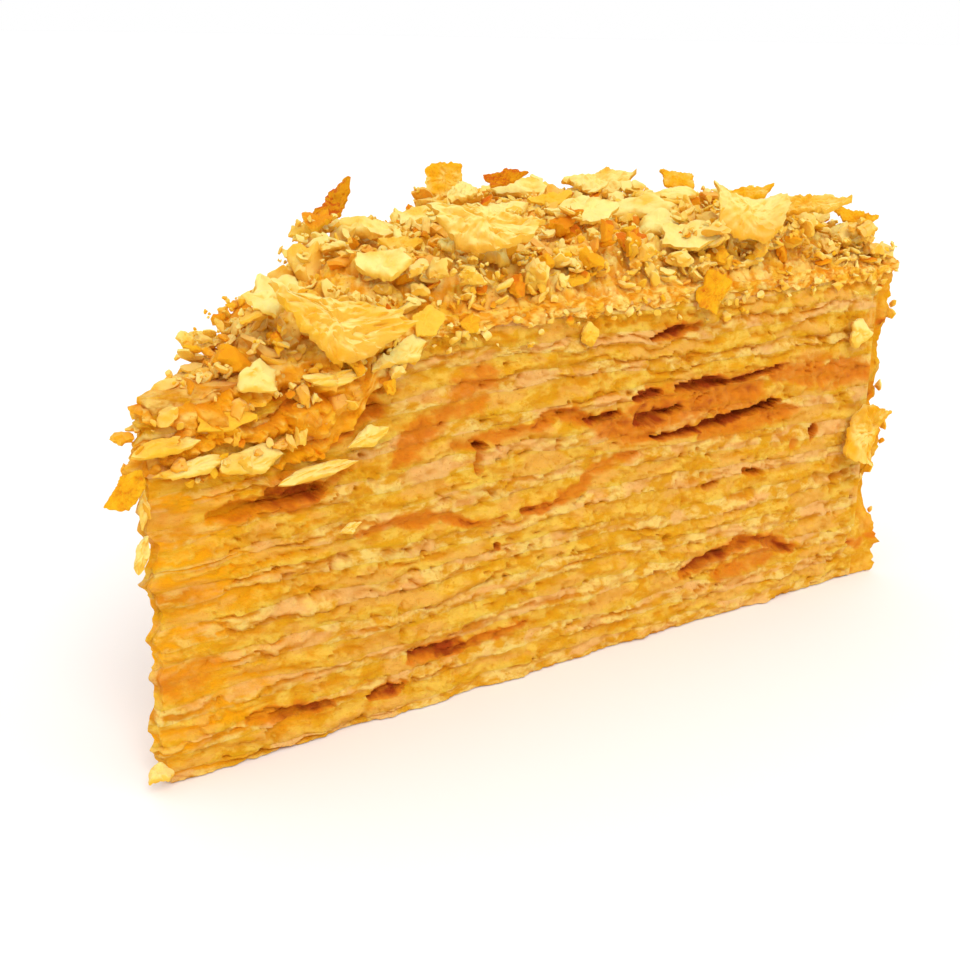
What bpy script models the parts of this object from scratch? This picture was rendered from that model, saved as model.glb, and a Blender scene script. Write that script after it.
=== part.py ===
"""A slice of napoleon cake: thin flaky pastry sheets with custard cream between them.

The slice stands on its bottom sheet. Its tip points along -X, the rim of the cake is at +X, and the
two cuts run from the tip to the rim on either side of the X axis. A heap of crumbs covers the top,
a coat of cream and crumbs covers the rim, and large flakes of pastry lie on both.
"""
import math

import bpy
from mathutils import Matrix, Vector, noise
from mathutils.bvhtree import BVHTree

# Driving dimensions, in metres.
SLICE_LENGTH = 0.1345
SLICE_ANGLE = math.radians(38.0)
STACK_HEIGHT = 0.0535
SHEETS = 12
CRUMB_DEPTH = 0.0075
RIM_COAT = 0.0035
GAP = 0.0003
HEAP_GAP = 0.0006

# The stack: how thick sheets are against the cream, and how uneven the layers run.
SHEET_SHARE = 1.0
CREAM_SHARE = 1.3
THICKNESS_SWING = 0.45
WAVE_LENGTH = 0.024
TIP_DROOP = 0.0065
DROOP_REACH = 0.045

# The cuts: how far each layer's edge wanders, and how far the cream is drawn in.
EDGE_WANDER = 0.0008
CREAM_RECESS = 0.0006
TIP_BLUNT = 0.0030

# The crumb heap on top.
HEAP_EDGE_DEPTH = 0.0014
HEAP_SHOULDER = 0.0075
HEAP_TIP_REACH = 0.036
HEAP_LUMP = 0.0016
HEAP_LUMP_SIZE = 0.0075

# The rim coat.
COAT_LUMP = 0.0011
COAT_LUMP_SIZE = 0.011

# Mesh fineness.
LAYER_ROWS = 12
LAYER_COLUMNS = 5
HEAP_ROWS = 20
HEAP_COLUMNS = 8
COAT_ROWS = 12
COAT_COLUMNS = 8
FLAKE_ROWS = 4
FLAKE_COLUMNS = 3

FLAKE_THICKNESS = 0.0010
REST_CLEARANCE = 0.0004

HALF_ANGLE = SLICE_ANGLE / 2
COAT_INNER_RADIUS = SLICE_LENGTH - RIM_COAT
STACK_RADIUS = COAT_INNER_RADIUS - GAP - EDGE_WANDER
LAYERS = 2 * SHEETS - 1

# Flakes that lie on the crumb heap: name, distance from the tip along X, distance across (the front
# cut is at -Y), length, width, heading, lean sideways, rise along the length, bend. Angles in degrees.
TOP_FLAKES = (
    ("flake_barbed", 0.058, 0.0160, 0.0085, 0.0050, -60, 50, 55, 8),
    ("flake_upright", 0.093, 0.0235, 0.0080, 0.0060, -55, 58, 4, 6),
    ("flake_brown", 0.105, 0.0180, 0.0075, 0.0050, -40, 45, 15, 14),
    ("flake_slab_long", 0.124, 0.0105, 0.0150, 0.0110, -52, 20, 4, 5),
    ("flake_slab_short", 0.124, -0.0040, 0.0070, 0.0060, -45, 30, -8, 6),
    ("flake_lens", 0.057, -0.0095, 0.0165, 0.0075, -57, 34, -6, 10),
    ("flake_folded", 0.094, -0.0270, 0.0125, 0.0085, -50, 34, -8, 18),
    ("flake_yellow", 0.112, -0.0235, 0.0090, 0.0055, -45, 28, 8, 8),
    ("flake_long", 0.110, -0.0335, 0.0160, 0.0050, -54, 22, 4, 7),
    ("flake_rim_top", 0.1255, -0.0360, 0.0080, 0.0055, -75, 22, -6, 10),
    ("flake_back", 0.076, 0.0100, 0.0120, 0.0090, 35, -22, 5, 12),
)

# Flakes that hang at the cuts: name, corner of the slice where they hang (distance from the tip,
# height), gap from the cut, length, width, heading, lean, rise, bend.
HANGING_FLAKES = (
    ("flake_curled", 0.0275, 0.0545, 0.0004, 0.0190, 0.0100, -19, 72, -14, 12),
    ("flake_tip", -0.0010, 0.0400, -0.0014, 0.0062, 0.0055, -22, 20, 22, 14),
    ("flake_front", 0.0910, 0.0520, 0.0004, 0.0070, 0.0050, -19, 78, 62, 8),
    ("flake_rim", 0.1285, 0.0240, 0.0008, 0.0110, 0.0060, -19, 80, 70, 10),
)


def smooth_step(value):
    """0 below 0, 1 above 1, and a smooth rise between them."""
    value = min(max(value, 0.0), 1.0)
    return value * value * (3.0 - 2.0 * value)


def ripple(seed, radius, side, size):
    """Smooth unevenness between about -1 and 1, with its own pattern for each seed."""
    across = side * radius * math.sin(HALF_ANGLE)
    return 1.6 * noise.noise(Vector((radius / size, across / size, 7.31 * seed + 0.5)))


def stack_height(radius):
    """Height of the stack of layers, which sinks towards the tip."""
    return STACK_HEIGHT - TIP_DROOP * (1.0 - smooth_step(radius / DROOP_REACH))


def layer_levels(radius, side):
    """Bottom and top height of every layer at one place, from the lowest sheet up."""
    shares = []
    for layer in range(LAYERS):
        share = SHEET_SHARE if layer % 2 == 0 else CREAM_SHARE
        shares.append(share * (1.0 + THICKNESS_SWING * ripple(layer, radius, side, WAVE_LENGTH)))
    solid_height = stack_height(radius) - GAP * (LAYERS - 1)
    levels = []
    height = 0.0
    for share in shares:
        thickness = solid_height * share / sum(shares)
        levels.append((height, height + thickness))
        height += thickness + GAP
    return levels


def place(radius, side, outset=0.0):
    """Point in the plan of the slice; side runs from -1 at the front cut to 1 at the back cut."""
    angle = side * HALF_ANGLE
    across = radius * math.sin(angle) + side * outset
    return radius * math.cos(angle), across


def grid_solid(name, upper, lower, flat_base=False):
    """Closed mesh between two grids of points with the same rows and columns."""
    rows = len(upper)
    columns = len(upper[0])
    points = [point for row in upper for point in row]
    points += [point for row in lower for point in row]
    below = rows * columns
    faces = []
    for row in range(rows - 1):
        for column in range(columns - 1):
            corner = row * columns + column
            across = corner + columns
            faces.append((corner, across, across + 1))
            faces.append((corner, across + 1, corner + 1))
            if not flat_base:
                faces.append((below + corner, below + across + 1, below + across))
                faces.append((below + corner, below + corner + 1, below + across + 1))
    rim = [row * columns for row in range(rows)]
    rim += [(rows - 1) * columns + column for column in range(1, columns)]
    rim += [row * columns + columns - 1 for row in range(rows - 2, -1, -1)]
    rim += [column for column in range(columns - 2, 0, -1)]
    for index, start in enumerate(rim):
        end = rim[(index + 1) % len(rim)]
        faces.append((start, below + start, below + end))
        faces.append((start, below + end, end))
    if flat_base:
        faces.append([below + index for index in reversed(rim)])
        kept = sorted(set(range(below)) | {below + index for index in rim})
        new_index = {old: new for new, old in enumerate(kept)}
        points = [points[old] for old in kept]
        faces = [[new_index[index] for index in face] for face in faces]
    mesh = bpy.data.meshes.new(name)
    mesh.from_pydata(points, [], faces)
    mesh.validate()
    return mesh


def material(name, colour, roughness):
    """Principled material of one colour."""
    result = bpy.data.materials.new(name)
    result.use_nodes = True
    shader = result.node_tree.nodes["Principled BSDF"]
    shader.inputs["Base Color"].default_value = (*colour, 1.0)
    shader.inputs["Roughness"].default_value = roughness
    shader.inputs["Metallic"].default_value = 0.0
    return result


def add_piece(mesh, finish):
    """Put a mesh into the scene as one named piece with its material."""
    piece = bpy.data.objects.new(mesh.name, mesh)
    mesh.materials.append(finish)
    mesh.shade_smooth()
    mesh.set_sharp_from_angle(angle=math.radians(40.0))
    bpy.context.scene.collection.objects.link(piece)
    return piece


def layer_mesh(layer):
    """One sheet of pastry or one layer of cream, with its own uneven outline."""
    is_cream = layer % 2 == 1
    draw_in = CREAM_RECESS if is_cream else 0.0
    upper = []
    lower = []
    for row in range(LAYER_ROWS + 1):
        along = (row / LAYER_ROWS) ** 0.85
        upper_row = []
        lower_row = []
        for column in range(LAYER_COLUMNS + 1):
            side = -1.0 + 2.0 * column / LAYER_COLUMNS
            tip_radius = TIP_BLUNT + 2.0 * draw_in + EDGE_WANDER * ripple(layer + 40, 0.0, 0.0, 0.01)
            end_radius = STACK_RADIUS - draw_in + EDGE_WANDER * ripple(layer + 60, 0.1, side, 0.012)
            radius = tip_radius + (end_radius - tip_radius) * along
            wander = EDGE_WANDER * ripple(layer + 80, radius, side, 0.009)
            x, y = place(radius, side, (wander - draw_in) * smooth_step(radius / 0.012))
            bottom, top = layer_levels(radius, side)[layer]
            upper_row.append((x, y, top))
            lower_row.append((x, y, bottom))
        upper.append(upper_row)
        lower.append(lower_row)
    number = layer // 2 + 1
    name = f"cream_{number:02d}" if is_cream else f"sheet_{number:02d}"
    return grid_solid(name, upper, lower, flat_base=(layer == 0))


def heap_depth(radius, side):
    """Depth of the crumb heap, shallow at the cuts and at the tip."""
    half_width = radius * math.sin(HALF_ANGLE)
    from_cut = half_width * (1.0 - abs(side))
    shoulder = smooth_step(from_cut / HEAP_SHOULDER) * smooth_step(radius / HEAP_TIP_REACH)
    outer = 1.0 - 0.25 * smooth_step((radius - 0.120) / 0.015)
    depth = HEAP_EDGE_DEPTH + (CRUMB_DEPTH - HEAP_EDGE_DEPTH) * shoulder * outer
    return depth + HEAP_LUMP * ripple(101, radius, side, HEAP_LUMP_SIZE) * (0.35 + 0.65 * shoulder)


def heap_mesh():
    """The crumbs on top, as one solid out to their uneven outline."""
    upper = []
    lower = []
    for row in range(HEAP_ROWS + 1):
        along = row / HEAP_ROWS
        upper_row = []
        lower_row = []
        for column in range(HEAP_COLUMNS + 1):
            side = -1.0 + 2.0 * column / HEAP_COLUMNS
            radius = TIP_BLUNT + (SLICE_LENGTH - TIP_BLUNT) * along
            radius += EDGE_WANDER * ripple(102, radius, side, 0.01) * along
            wander = EDGE_WANDER * ripple(103, radius, side, 0.006)
            x, y = place(radius, side, wander * smooth_step(radius / 0.012))
            base = stack_height(radius) + HEAP_GAP
            upper_row.append((x, y, base + heap_depth(radius, side)))
            lower_row.append((x, y, base))
        upper.append(upper_row)
        lower.append(lower_row)
    return grid_solid("crumb_heap", upper, lower)


def rim_coat_mesh():
    """The coat of cream and crumbs on the rim, from the bottom sheet up to the crumb heap."""
    inner = []
    outer = []
    top = STACK_HEIGHT - GAP
    for row in range(COAT_ROWS + 1):
        height = top * row / COAT_ROWS
        inner_row = []
        outer_row = []
        for column in range(COAT_COLUMNS + 1):
            side = -1.0 + 2.0 * column / COAT_COLUMNS
            across = side * SLICE_LENGTH * math.sin(HALF_ANGLE)
            lump = 1.6 * noise.noise(Vector((across, height, 0.37)) / COAT_LUMP_SIZE)
            radius = SLICE_LENGTH - 0.6 * COAT_LUMP + COAT_LUMP * lump
            inner_row.append((*place(COAT_INNER_RADIUS, side), height))
            outer_row.append((*place(radius, side), height))
        inner.append(inner_row)
        outer.append(outer_row)
    return grid_solid("rim_coat", inner, outer)


def flake_grid(length, width, bend, seed):
    """Points of a flake lying flat: an uneven plate that is bent along its length."""
    grid = []
    for row in range(FLAKE_ROWS + 1):
        u = -1.0 + 2.0 * row / FLAKE_ROWS
        points = []
        for column in range(FLAKE_COLUMNS + 1):
            v = -1.0 + 2.0 * column / FLAKE_COLUMNS
            corner = 1.0 - 0.10 * (u * v) ** 2
            ragged = 1.0 + 0.22 * noise.noise(Vector((1.3 * u, 1.7 * v, 3.7 * seed)))
            x = 0.5 * length * u * corner * ragged
            y = 0.5 * width * v * (1.0 - 0.22 * u) * ragged
            curl = 0.5 * length * math.radians(bend) * (u * u - 0.4)
            points.append(Vector((x, y, curl + 0.1 * width * noise.noise(Vector((u, v, seed))))))
        grid.append(points)
    return grid


def turned(grid, heading, lean, rise):
    """The grid leaned sideways, raised along its length and turned to its heading."""
    turn = Matrix.Rotation(math.radians(heading), 3, "Z")
    turn = turn @ Matrix.Rotation(math.radians(-rise), 3, "Y")
    turn = turn @ Matrix.Rotation(math.radians(lean), 3, "X")
    up = turn @ Vector((0.0, 0.0, 1.0))
    return [[turn @ point for point in row] for row in grid], up


def flake_mesh(name, grid, up, centre):
    """Plate of even thickness over a grid of points, moved to its centre."""
    half = up * (FLAKE_THICKNESS / 2)
    upper = [[point + centre + half for point in row] for row in grid]
    lower = [[point + centre - half for point in row] for row in grid]
    return grid_solid(name, upper, lower)


def resting_height(grid, up, x, y, surface):
    """Height at which a turned flake just clears the surface below it."""
    needed = 0.0
    steps = 3
    for row in range(len(grid) - 1):
        for column in range(len(grid[0]) - 1):
            for i in range(steps + 1):
                for j in range(steps + 1):
                    start = grid[row][column].lerp(grid[row + 1][column], i / steps)
                    end = grid[row][column + 1].lerp(grid[row + 1][column + 1], i / steps)
                    point = start.lerp(end, j / steps) - up * (FLAKE_THICKNESS / 2)
                    above = Vector((point.x + x, point.y + y, 1.0))
                    hit = surface.ray_cast(above, Vector((0.0, 0.0, -1.0)))[0]
                    if hit:
                        needed = max(needed, hit.z - point.z)
    return needed + REST_CLEARANCE


def add_flakes(finishes, heap):
    """Flakes on the heap, set down on whatever lies under them, and flakes that hang at the cuts."""
    surface = BVHTree.FromPolygons([v.co for v in heap.vertices], [p.vertices for p in heap.polygons])
    for seed, (name, x, y, length, width, heading, lean, rise, bend) in enumerate(TOP_FLAKES):
        flat = flake_grid(length, width, bend, seed + 1)
        grid, up = turned(flat, heading, lean, rise)
        centre = Vector((x, y, resting_height(grid, up, x, y, surface)))
        add_piece(flake_mesh(name, grid, up, centre), finishes[seed % len(finishes)])
    for seed, row in enumerate(HANGING_FLAKES):
        name, radius, height, clear, length, width, heading, lean, rise, bend = row
        flat = flake_grid(length, width, bend, seed + 31)
        grid, up = turned(flat, heading, lean, rise)
        outward = Vector((-math.sin(HALF_ANGLE), -math.cos(HALF_ANGLE), 0.0))
        if radius < 0.0:
            outward = Vector((-1.0, 0.0, 0.0))
        reach = max(-point.dot(outward) for line in grid for point in line) + FLAKE_THICKNESS / 2
        edge = Vector((*place(max(radius, 0.0), -1.0), height))
        centre = edge + outward * (reach + EDGE_WANDER + clear)
        add_piece(flake_mesh(name, grid, up, centre), finishes[seed % len(finishes)])


def centre_on_base():
    """Move everything so that the origin is the middle of the slice's box, on its underside."""
    meshes = [piece.data for piece in bpy.context.scene.objects if piece.type == "MESH"]
    corners = [vertex.co for mesh in meshes for vertex in mesh.vertices]
    middle_x = (min(c.x for c in corners) + max(c.x for c in corners)) / 2
    middle_y = (min(c.y for c in corners) + max(c.y for c in corners)) / 2
    for mesh in meshes:
        mesh.transform(Matrix.Translation((-middle_x, -middle_y, 0.0)))


def build():
    """Make the whole slice."""
    for old in list(bpy.data.objects):
        bpy.data.objects.remove(old)
    pastry = material("pastry", (0.80, 0.52, 0.20), 0.75)
    cream = material("cream", (0.86, 0.62, 0.16), 0.55)
    crumbs = material("crumbs", (0.84, 0.50, 0.13), 0.80)
    flakes = [material("pale_flake", (0.88, 0.68, 0.33), 0.70), material("brown_flake", (0.72, 0.31, 0.06), 0.70)]
    for layer in range(LAYERS):
        add_piece(layer_mesh(layer), cream if layer % 2 == 1 else pastry)
    heap = heap_mesh()
    add_piece(heap, crumbs)
    add_piece(rim_coat_mesh(), crumbs)
    add_flakes(flakes, heap)
    centre_on_base()


build()
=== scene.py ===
"""Looks of a napoleon cake slice: ragged pastry sheets, smeared custard, crumbs and flakes."""
import math

import bmesh
import bpy
import numpy as np
from mathutils import Euler, Matrix, Vector
from mathutils.bvhtree import BVHTree


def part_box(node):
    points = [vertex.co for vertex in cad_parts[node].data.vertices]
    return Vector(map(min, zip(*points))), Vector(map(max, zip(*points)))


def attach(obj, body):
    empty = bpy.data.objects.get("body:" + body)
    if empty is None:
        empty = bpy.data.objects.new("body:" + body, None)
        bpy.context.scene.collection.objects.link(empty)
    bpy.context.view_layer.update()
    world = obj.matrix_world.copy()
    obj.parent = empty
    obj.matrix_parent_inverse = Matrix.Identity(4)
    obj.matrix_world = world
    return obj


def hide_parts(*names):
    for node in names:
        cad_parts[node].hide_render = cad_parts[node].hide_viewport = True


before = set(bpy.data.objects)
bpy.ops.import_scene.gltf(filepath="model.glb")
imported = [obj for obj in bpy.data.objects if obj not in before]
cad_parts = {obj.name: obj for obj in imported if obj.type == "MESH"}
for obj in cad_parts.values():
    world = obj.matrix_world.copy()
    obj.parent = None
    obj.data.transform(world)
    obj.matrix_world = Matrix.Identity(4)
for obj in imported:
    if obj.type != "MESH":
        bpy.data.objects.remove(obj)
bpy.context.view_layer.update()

MM = 0.001

# The slice, as its frame has it.
SLICE_LENGTH = 134.5 * MM
HALF_ANGLE = math.radians(19.0)
COAT_INNER_RADIUS = 131.0 * MM
STACK_RADIUS = 130.0 * MM
TIP_RADIUS = 2.6 * MM
SHEETS = 12
LAYERS = 2 * SHEETS - 1
RIM_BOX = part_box("rim_coat")
APEX_X = RIM_BOX[0].x - COAT_INNER_RADIUS * math.cos(HALF_ANGLE)
APEX = Vector((APEX_X, (RIM_BOX[0].y + RIM_BOX[1].y) / 2, 0.0))
STACK_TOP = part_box("sheet_12")[1].z

# The camera, by where it stands from the slice's tip.
EYE_FROM_TIP = Vector((-101.6, -120.0, 88.9)) * MM
VIEW_HEADING = math.radians(-54.98)
VIEW_DROP = math.radians(17.63)
VIEW_ROLL = math.radians(0.83)
VIEW_LENS = 52.5

# The light.
SUN_STRENGTH = 1.2
SUN_SPREAD = math.radians(28.0)
SUN_COLOUR = (1.0, 0.98, 0.94)
SUN_DIRECTION = Vector((0.42, 0.55, -0.68))
FLOOR_SIZE = 60.0
FLOOR_DROP = 0.2 * MM

# How finely the pieces are drawn, and how many ledges a sheet and its custard break into.
CUT_STEP = 0.43 * MM
STACK_RIM_STEP = 1.5 * MM
RIM_STEP = 0.60 * MM
HEAP_STEP = 0.42 * MM
SKIRT_ROWS = 30
CUT_BITS = 330
RIM_BITS = 430
WALL_ANGLE = 65.0
LAYER_ROWS = 8
LEDGES_PER_PAIR = 2.2

# How light passes through the pastry, red furthest, and how little it shines.
SCATTER_REACH = (1.0, 0.45, 0.12)
SHEEN = 0.12

# Browned and hollow streaks on the front cut, in mm: distance from the tip and height at both ends,
# half thickness, how browned, how deep.
STREAKS = (
    (77.5, 38.9, 83, 39.2, 0.7, 1.00, 3.0),
    (86, 39.3, 97, 38.7, 0.9, 1.00, 4.0),
    (96, 38.9, 108, 39.6, 0.6, 0.95, 2.5),
    (107, 38.8, 130, 36.6, 1.9, 0.55, 0.8),
    (68.5, 36.5, 75, 36.8, 0.7, 1.00, 3.0),
    (77.5, 35.1, 86, 36.2, 1.0, 1.00, 3.5),
    (78, 36.4, 103, 36.8, 2.5, 0.62, 0.6),
    (81.5, 32.2, 90, 32.3, 0.6, 1.00, 3.0),
    (90, 32.3, 108, 33.7, 0.9, 1.00, 4.5),
    (91, 31.0, 112, 32.2, 1.3, 0.52, 1.0),
    (45.5, 36.5, 57.5, 37.3, 0.8, 0.52, 0.8),
    (57.5, 37.3, 63, 38.7, 0.8, 0.60, 1.0),
    (63, 38.7, 70, 36.5, 0.9, 0.65, 1.2),
    (70, 36.4, 81, 32.6, 1.4, 0.62, 0.8),
    (48.8, 36.2, 50.2, 36.0, 0.8, 1.00, 4.0),
    (49.5, 35.4, 49, 32.6, 0.7, 0.35, 2.0),
    (50.6, 45.0, 44, 41.8, 2.6, 0.50, 0.5),
    (44, 41.8, 37, 36.2, 1.9, 0.55, 0.6),
    (57.5, 25, 62.5, 25.2, 0.6, 0.65, 1.5),
    (62.5, 25.2, 68.3, 26.5, 0.8, 0.55, 1.0),
    (68.3, 26.5, 70.1, 29, 0.9, 0.50, 0.8),
    (70.1, 29, 78, 30.5, 0.8, 0.50, 0.8),
    (29, 27, 36, 27.5, 0.6, 0.45, 0.8),
    (35.7, 27.5, 43.6, 27.1, 0.9, 0.55, 1.1),
    (43.6, 27.1, 48.6, 25.3, 0.7, 0.60, 1.0),
    (48.6, 25.3, 54.6, 24.7, 0.6, 0.52, 0.8),
    (93.5, 22.6, 96.5, 22.8, 0.7, 0.60, 3.0),
    (101.5, 23.6, 106.5, 22.7, 0.8, 0.42, 2.5),
    (117.2, 28, 118.4, 27.7, 1.0, 1.00, 4.0),
    (112, 26.7, 113.5, 26.4, 1.1, 0.50, 0.5),
    (89, 9.2, 100, 11.3, 1.0, 0.80, 2.2),
    (100, 11.3, 106, 11.7, 1.0, 0.72, 2.4),
    (106, 11.4, 114, 8.2, 1.1, 0.72, 2.0),
    (96, 7.6, 110, 7.9, 1.4, 0.45, 0.8),
    (52.4, 21.4, 53.4, 20.8, 0.5, 0.85, 2.5),
    (10, 33.6, 17, 34.2, 1.1, 0.80, 2.5),
    (17, 34.2, 24, 34.6, 1.5, 0.85, 3.5),
    (24, 34.4, 29, 36.6, 0.7, 0.50, 1.5),
    (31.5, 3.6, 38, 3.8, 0.6, 0.90, 2.2),
    (14.5, 5.5, 25.5, 4.3, 0.7, 0.85, 1.8),
    (38, 7.5, 47, 7.4, 0.8, 0.85, 1.8),
    (46.5, 7.4, 59, 7.8, 0.6, 0.60, 1.0),
    (80, 47.2, 87, 48.4, 0.7, 1.00, 2.8),
    (87, 48.4, 90, 48.6, 0.5, 0.75, 1.5),
    (2, 35, 8, 32.5, 1.4, 0.30, 0.0),
    (2.4, 13.2, 9, 14.2, 2.2, 0.45, 0.3),
    (2.4, 25.5, 9, 24, 1.6, 0.28, 0.2),
    (20.5, 45.2, 33, 43.5, 2.6, 0.42, 2.8),
    (24, 43, 29, 41.3, 1.7, 0.60, 0.6),
    (19.5, 47.6, 22, 48.2, 0.9, 1.00, 3.5),
    (28.5, 46.8, 34, 46.6, 0.7, 1.00, 3.2),
    (57, 54.4, 70, 54.0, 0.6, 0.45, 1.0),
)

# How far the rim coat stands from the rim circle, in mm, at heights in mm.
RIM_PROFILE = (
    (0, 0.4), (1.5, 0.9), (5, 2.2), (9, 0.5), (12.5, -2.2), (16, -3.4), (20, -1.2), (23, 0.5), (27, 0.5),
    (30, -3.2), (33, -2.1), (36, -1.6), (40, -2.8), (43, -1.6), (50, -0.4), (54, -1.0),
)


# ---- noise and small helpers


def lattice_vectors(x, y, z, seed):
    """Three repeatable random numbers between -1 and 1 for every lattice point."""
    mixed = x * np.uint32(374761393) + y * np.uint32(668265263) + z * np.uint32(2246822519)
    mixed = mixed + np.uint32(seed * 3266489917 & 0xFFFFFFFF)
    mixed = (mixed ^ (mixed >> np.uint32(15))) * np.uint32(2246822519)
    mixed = (mixed ^ (mixed >> np.uint32(13))) * np.uint32(3266489917)
    mixed = mixed ^ (mixed >> np.uint32(16))
    parts = [(mixed >> np.uint32(shift)) & np.uint32(1023) for shift in (0, 10, 20)]
    return [part.astype(np.float32) / 511.5 - 1.0 for part in parts]


def noise(points, size, seed):
    """Gradient noise, about -1 to 1, at an array of points; size may differ in X, Y and Z."""
    scaled = np.asarray(points, np.float32) / np.asarray(size, np.float32) + 100.0 + 0.37 * seed
    cell = np.floor(scaled)
    part = scaled - cell
    cell = cell.astype(np.int64).astype(np.uint32)
    fade = part * part * part * (part * (part * 6.0 - 15.0) + 10.0)
    total = np.zeros(scaled.shape[:-1], np.float32)
    for corner in range(8):
        steps = [(corner >> axis) & 1 for axis in range(3)]
        gradient = lattice_vectors(*(cell[..., axis] + np.uint32(steps[axis]) for axis in range(3)), seed)
        value = sum(gradient[axis] * (part[..., axis] - steps[axis]) for axis in range(3))
        weight = 1.0
        for axis in range(3):
            weight = weight * (fade[..., axis] if steps[axis] else 1.0 - fade[..., axis])
        total += value * weight
    return 1.5 * total


def ripple(points, size, seed):
    """Noise with its size given in mm."""
    return noise(points, np.asarray(size) * MM, seed)


def stacked(*parts):
    """Arrays spread to one shape and set side by side along a last axis."""
    return np.stack(np.broadcast_arrays(*parts), -1)


def smooth(value, low=0.0, high=1.0):
    """0 below low, 1 above high, and a smooth rise between them."""
    part = np.clip((value - low) / (high - low), 0.0, 1.0)
    return part * part * (3.0 - 2.0 * part)


def bits(across, along, size, seed):
    """Packed broken bits over a flat pattern: height, groove between them, and a random value of each.

    Height and groove are about -1 to 1 and 0 to 1; each bit has its own level and tilt.
    """
    u, v = np.asarray(across) / size + 200.0, np.asarray(along) / size + 200.0
    cell_u, cell_v = np.floor(u), np.floor(v)
    nearest, second = np.full(u.shape, 9.0), np.full(u.shape, 9.0)
    kept = [np.zeros(u.shape) for _ in range(5)]
    for step_u in (-1, 0, 1):
        for step_v in (-1, 0, 1):
            steps = ((cell_u, step_u), (cell_v, step_v))
            at = [(cell + step).astype(np.int64).astype(np.uint32) for cell, step in steps]
            jitter = lattice_vectors(at[0], at[1], np.uint32(7), seed)
            chance = lattice_vectors(at[0], at[1], np.uint32(11), seed + 1)
            from_u = u - (cell_u + step_u + 0.5 + 0.46 * jitter[0])
            from_v = v - (cell_v + step_v + 0.5 + 0.46 * jitter[1])
            distance = np.hypot(from_u, from_v)
            nearer = distance < nearest
            second = np.where(nearer, nearest, np.minimum(second, distance))
            nearest = np.minimum(nearest, distance)
            kept = [np.where(nearer, new, old) for new, old in zip((from_u, from_v, *chance), kept)]
    from_u, from_v, level, tilt_u, tilt_v = kept
    groove = 1.0 - smooth(second - nearest, 0.0, 0.35)
    height = 0.55 * level + 0.9 * (from_u * tilt_u + from_v * tilt_v)
    return height - 0.35 * groove, groove, 0.5 + 0.5 * level


def ring_faces(upper, lower):
    """Triangles between rings of point numbers, each listed round."""
    after, lower_after = np.roll(upper, -1, -1), np.roll(lower, -1, -1)
    both = stacked(upper, lower, lower_after), stacked(upper, lower_after, after)
    return np.concatenate([half.reshape(-1, 3) for half in both])


def linear(red, green, blue):
    """Linear colour from the 0 to 255 values that a screen shows."""
    shown = (red, green, blue)
    return tuple(v / 255 / 12.92 if v < 10 else ((v / 255 + 0.055) / 1.055) ** 2.4 for v in shown)


def make_piece(name, points, faces, look, material, replaced, slot, smooth_angle):
    """Mesh piece that rides on the body; look holds browned, painted shade and painted glowing light for
    every point.
    """
    mesh = bpy.data.meshes.new(name)
    points = np.asarray(points, np.float64)
    triangles = np.asarray(faces, np.int32)
    mesh.vertices.add(len(points))
    mesh.vertices.foreach_set("co", points.astype(np.float32).ravel())
    mesh.loops.add(triangles.size)
    mesh.loops.foreach_set("vertex_index", triangles.ravel())
    mesh.polygons.add(len(triangles))
    mesh.polygons.foreach_set("loop_start", np.arange(0, triangles.size, triangles.shape[1], dtype=np.int32))
    mesh.update(calc_edges=True)
    mesh.validate()
    values = np.ones((len(points), 4), np.float32)
    values[:, : look.shape[1]] = look
    attribute = mesh.attributes.new("look", "FLOAT_COLOR", "POINT")
    attribute.data.foreach_set("color", values.ravel())
    mesh.shade_smooth()
    mesh.set_sharp_from_angle(angle=math.radians(smooth_angle))
    mesh.materials.append(material)
    piece = bpy.data.objects.new(name, mesh)
    bpy.context.scene.collection.objects.link(piece)
    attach(piece, "root")
    if replaced:
        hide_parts(*replaced)


# ---- materials


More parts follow.
